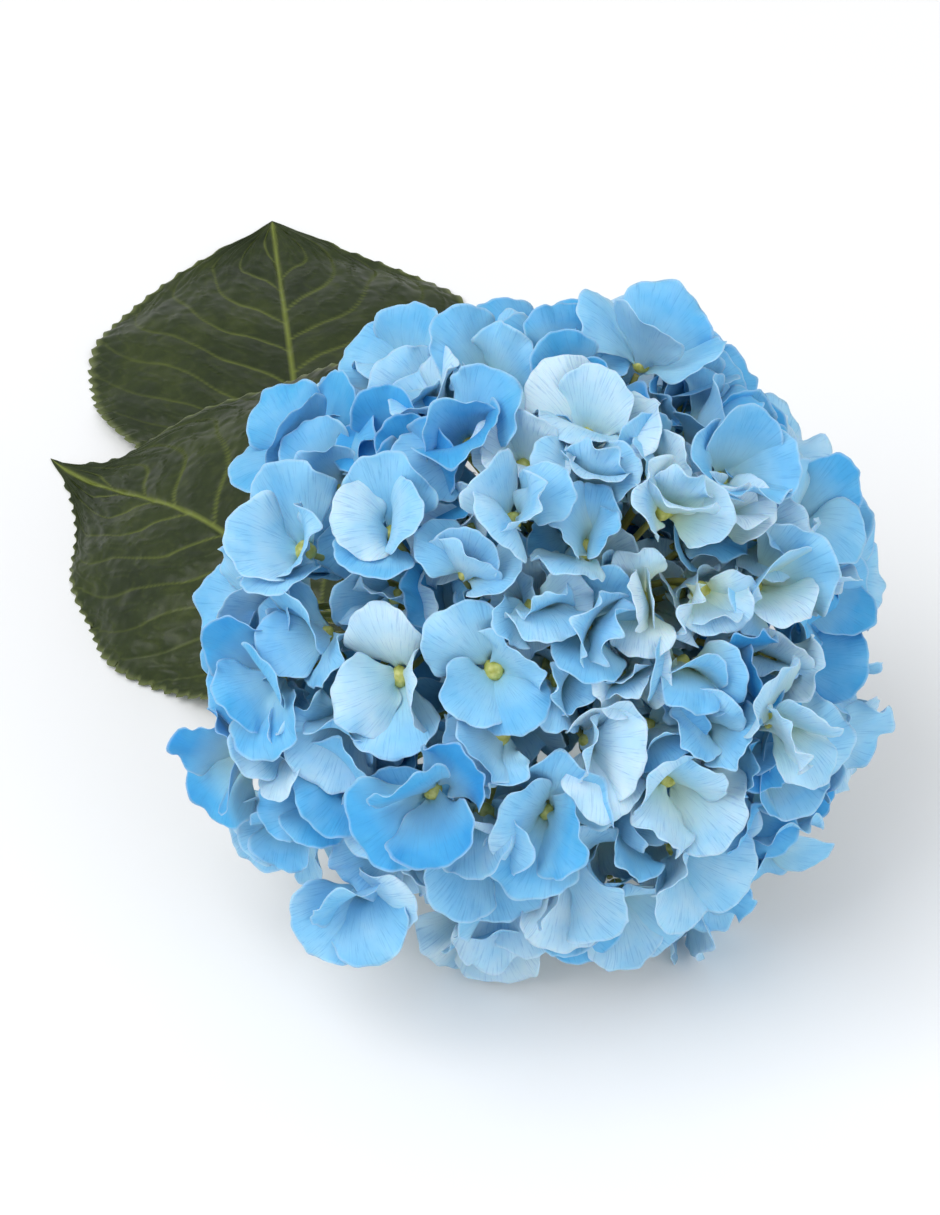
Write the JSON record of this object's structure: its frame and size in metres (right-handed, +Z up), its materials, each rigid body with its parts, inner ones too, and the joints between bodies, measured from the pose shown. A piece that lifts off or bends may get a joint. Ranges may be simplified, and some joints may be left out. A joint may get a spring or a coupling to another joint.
{
  "type": "cut hydrangea",
  "caption": "Cut mophead hydrangea lying on a surface: a round head of blue four-sepalled florets on forked branches, a short cut stem and broad serrate leaves.",
  "frame": {"origin": "on the surface the flower lies on, under the middle of its bounding box", "axes": "+Z up from the surface; the face of the head looks forwards and up, towards -Y and +Z; the stem runs back along +Y and the leaves spread back and to the left, -X"},
  "size_m": [0.2168, 0.3118, 0.1588],
  "materials": {
    "sepal_blue": "matte",
    "branch_green": "matte",
    "stem_green": "satin",
    "leaf_green": "satin"
  },
  "bodies": {
    "root": {"stem": "stem_green", "branch_1": "branch_green", "branch_2": "branch_green", "branch_3": "branch_green", "branch_4": "branch_green", "branch_5": "branch_green", "branch_6": "branch_green", "floret_01": "sepal_blue", "floret_02": "sepal_blue", "floret_03": "sepal_blue", "floret_04": "sepal_blue", "floret_05": "sepal_blue", "floret_06": "sepal_blue", "floret_07": "sepal_blue", "floret_08": "sepal_blue", "floret_09": "sepal_blue", "floret_10": "sepal_blue", "floret_11": "sepal_blue", "floret_12": "sepal_blue", "floret_13": "sepal_blue", "floret_14": "sepal_blue", "floret_15": "sepal_blue", "floret_16": "sepal_blue", "floret_17": "sepal_blue", "floret_18": "sepal_blue", "floret_19": "sepal_blue", "floret_20": "sepal_blue", "floret_21": "sepal_blue", "floret_22": "sepal_blue", "floret_23": "sepal_blue", "floret_24": "sepal_blue", "floret_25": "sepal_blue", "floret_26": "sepal_blue", "floret_27": "sepal_blue", "floret_28": "sepal_blue", "floret_29": "sepal_blue", "floret_30": "sepal_blue", "floret_31": "sepal_blue", "floret_32": "sepal_blue", "floret_33": "sepal_blue", "floret_34": "sepal_blue", "floret_35": "sepal_blue", "floret_36": "sepal_blue", "floret_37": "sepal_blue", "floret_38": "sepal_blue", "floret_39": "sepal_blue", "floret_40": "sepal_blue", "floret_41": "sepal_blue", "floret_42": "sepal_blue", "floret_43": "sepal_blue", "floret_44": "sepal_blue", "floret_45": "sepal_blue", "floret_46": "sepal_blue", "floret_47": "sepal_blue", "floret_48": "sepal_blue", "floret_49": "sepal_blue", "floret_50": "sepal_blue", "floret_51": "sepal_blue", "leaf_front": "leaf_green", "leaf_back": "leaf_green"}
  },
  "joints": []
}
